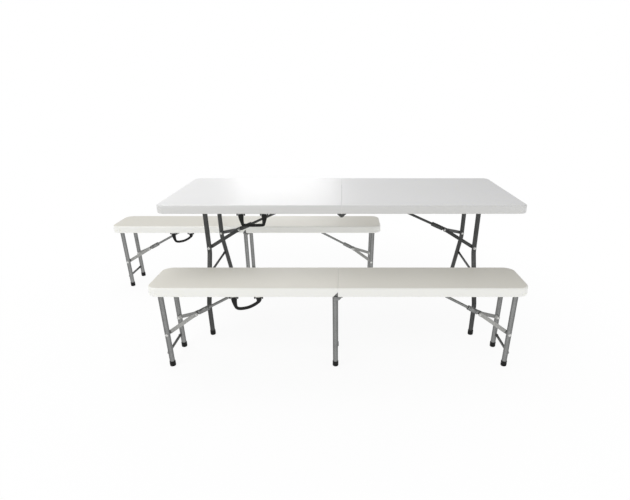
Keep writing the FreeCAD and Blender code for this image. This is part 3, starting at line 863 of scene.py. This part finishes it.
def carry_handle(s):
    """Black moulded handle: tapering tabs, a sagging ribbed grip and two steel axles."""
    name = s["name"] + "_handle_loop"
    y = -(s["width"] / 2 - s["wall"] / 2)
    top = rim_bottom(s) - AXLE_DROP
    at = s["at"] + Vector((s["handle_x"], y, top))
    corners = [(-0.0565, 0.0030), (-0.0560, -0.020), (-0.0520, -0.043), (-0.0460, -0.0510),
               (0.0, -0.0525), (0.0460, -0.0510), (0.0520, -0.043), (0.0560, -0.020), (0.0565, 0.0030)]
    if s["centre_x"] is not None:
        corners = [(-0.0565, 0.0020), (-0.0555, -0.020), (-0.0510, -0.043), (-0.0440, -0.0520),
                   (-0.0260, -0.0540), (0.0050, -0.0480), (0.0330, -0.0350), (0.0520, -0.0210),
                   (0.0572, -0.0100), (0.0568, 0.0020)]
    points = [at + Vector((x, 0, z)) for x, z in corners]
    path = spline(points, 90)
    step = (path[1] - path[0]).length
    left_tab, right_tab = 0.050, 0.050
    if s["centre_x"] is not None:
        right_tab = 0.026
    widths, thick = [], []
    for i in range(len(path)):
        from_left, from_right = i * step, (len(path) - 1 - i) * step
        tab = max(0.0, 1 - from_left / left_tab, 1 - from_right / right_tab)
        rib = 0.0
        if tab == 0.0:
            rib = 0.0005 * math.sin(i * math.pi / 1.5)
        widths.append(0.0142 + 0.0138 * min(1.0, 1.15 * tab) + rib)
        thick.append(0.0096 - 0.0026 * tab + rib)
    verts, faces = handle_strap(path, widths, thick)
    loop = mesh_object(name, verts, faces)
    finish_piece(loop, s["name"] + "_handle", "handle_plastic", s["name"] + "_carry_handle")
    axles = []
    for sign in (-1, 1):
        middle = at + Vector((sign * 0.0575, 0, 0))
        profile = [(AXLE_R - 0.0006, -0.0200), (AXLE_R, -0.0194), (AXLE_R, 0.0194),
                   (AXLE_R - 0.0006, 0.0200)]
        axles.append(lathe(name, profile, middle, (1, 0, 0), 24))
    finish_piece(join(s["name"] + "_handle_axles", axles), s["name"] + "_handle", "zinc_fixings")


def spline(points, count):
    """Evenly stepped smooth curve through the points."""
    ext = [points[0] * 2 - points[1]] + points + [points[-1] * 2 - points[-2]]
    fine = []
    for i in range(1, len(ext) - 2):
        for k in range(24):
            t = k / 24
            a, b, c, d = ext[i - 1], ext[i], ext[i + 1], ext[i + 2]
            fine.append(0.5 * ((2 * b) + (c - a) * t + (2 * a - 5 * b + 4 * c - d) * t * t
                               + (3 * b - a - 3 * c + d) * t ** 3))
    fine.append(points[-1])
    lengths = [0.0]
    for i in range(1, len(fine)):
        lengths.append(lengths[-1] + (fine[i] - fine[i - 1]).length)
    out, j = [], 0
    for k in range(count):
        goal = lengths[-1] * k / (count - 1)
        while j < len(lengths) - 2 and lengths[j + 1] < goal:
            j += 1
        gap = lengths[j + 1] - lengths[j]
        t = (goal - lengths[j]) / gap if gap > 0 else 0
        out.append(fine[j].lerp(fine[j + 1], min(1.0, t)))
    return out


def main():
    record_slots = {p["node"]: p["material_slot"] for p in frame["record"]["subparts"]}
    for name, node in frame["nodes"].items():
        node.data.materials.clear()
        node.data.materials.append(MATERIALS[record_slots[name]])
        smooth_by_angle(node.data)
    for s in (TABLE, FRONT, BACK):
        for side in (-1, 1):
            skin(s, side)
            end_leg(s, side)
            brace_rod(s, side)
            lock_sleeve(s, side)
            arms(s, side)
            under_steel(s, side)
            screw_heads(s, side)
        if s["centre_x"] is not None:
            centre_leg(s)
        hinge_pins(s)
        carry_handle(s)
    stage_and_light()


# --- floor, light and camera ---------------------------------------------------------------
def area(name, place, aim, size, power):
    """A rectangular studio lamp at place, turned towards aim."""
    data = bpy.data.lights.new(name, "AREA")
    data.shape = "RECTANGLE"
    data.size, data.size_y = size
    data.energy = power
    obj = bpy.data.objects.new(name, data)
    obj.location = place
    obj.rotation_euler = (Vector(aim) - Vector(place)).to_track_quat("-Z", "Y").to_euler()
    bpy.context.scene.collection.objects.link(obj)
    return obj


def paper():
    """Pale paper, lit partly from behind, that fades to plain white away from the set."""
    mat, tree, shader = node_tree("floor_paper")
    place = tree.nodes.new("ShaderNodeTexCoord").outputs["Object"]
    tone = ramp(tree, noise(tree, place, 3.0, 4.0), [(0.3, (0.93, 0.93, 0.93)), (0.7, (0.95, 0.95, 0.95))])
    tree.links.new(tone, shader.inputs["Base Color"])
    shader.inputs["Roughness"].default_value = 0.9
    far = add(tree, "ShaderNodeVectorMath", operation="LENGTH")
    tree.links.new(place, far.inputs[0])
    fade = add(tree, "ShaderNodeMapRange", interpolation_type="SMOOTHSTEP")
    tree.links.new(far.outputs["Value"], fade.inputs["Value"])
    fade.inputs["From Min"].default_value = 0.6
    fade.inputs["From Max"].default_value = 2.2
    fade.inputs["To Min"].default_value = 0.90
    glow = add(tree, "ShaderNodeEmission")
    glow.inputs["Strength"].default_value = 1.0
    blend = tree.nodes.new("ShaderNodeMixShader")
    tree.links.new(fade.outputs["Result"], blend.inputs["Fac"])
    tree.links.new(shader.outputs[0], blend.inputs[1])
    tree.links.new(glow.outputs[0], blend.inputs[2])
    tree.links.new(blend.outputs[0], tree.nodes["Material Output"].inputs["Surface"])
    return mat


def stage_and_light():
    floor = mesh_object("floor", [(-30, -30, 0), (30, -30, 0), (30, 30, 0), (-30, 30, 0)],
                        [(0, 1, 2, 3)], False)
    floor.data.materials.append(paper())
    world = bpy.data.worlds.new("studio")
    world.use_nodes = True
    world.node_tree.nodes["Background"].inputs["Color"].default_value = (1, 1, 1, 1)
    sky = world.node_tree
    sky.nodes["Background"].inputs["Strength"].default_value = 0.52
    path = sky.nodes.new("ShaderNodeLightPath")
    below = sky.nodes["Background"].outputs[0]
    for ray, strength in (("Is Glossy Ray", 0.40), ("Is Camera Ray", 1.0)):
        seen = sky.nodes.new("ShaderNodeBackground")
        seen.inputs["Strength"].default_value = strength
        seen.inputs["Color"].default_value = (1, 1, 1, 1)
        pick = sky.nodes.new("ShaderNodeMixShader")
        sky.links.new(path.outputs[ray], pick.inputs["Fac"])
        sky.links.new(below, pick.inputs[1])
        sky.links.new(seen.outputs[0], pick.inputs[2])
        below = pick.outputs[0]
    sky.links.new(below, sky.nodes["World Output"].inputs["Surface"])
    bpy.context.scene.world = world
    lights = [area("glow", (-0.43, 3.6, 1.42), (0.0, 0.1, 0.74), (1.3, 0.5), 9),
              area("key", (-2.2, -2.4, 2.6), (0.1, 0, 0.4), (2.4, 1.6), 40),
              area("fill", (3.0, -2.6, 1.9), (0.3, 0, 0.4), (2.2, 1.4), 17),
              area("top", (-1.3, 0.8, 2.9), (-0.3, 0, 0.6), (2.0, 1.2), 27)]
    camera = bpy.data.cameras.new("camera")
    camera.sensor_width = 36.0
    camera.lens = 27.74
    camera.shift_x = -0.0424
    camera.shift_y = 0.0789
    obj = bpy.data.objects.new("camera", camera)
    obj.location = (TABLE["at"].x, -2.676, 1.273)
    looks_down = 24
    obj.rotation_euler = (math.radians(90 - looks_down), 0, 0)
    bpy.context.scene.collection.objects.link(obj)
    bpy.context.scene.camera = obj
    bpy.context.scene.view_settings.view_transform = "Standard"


main()
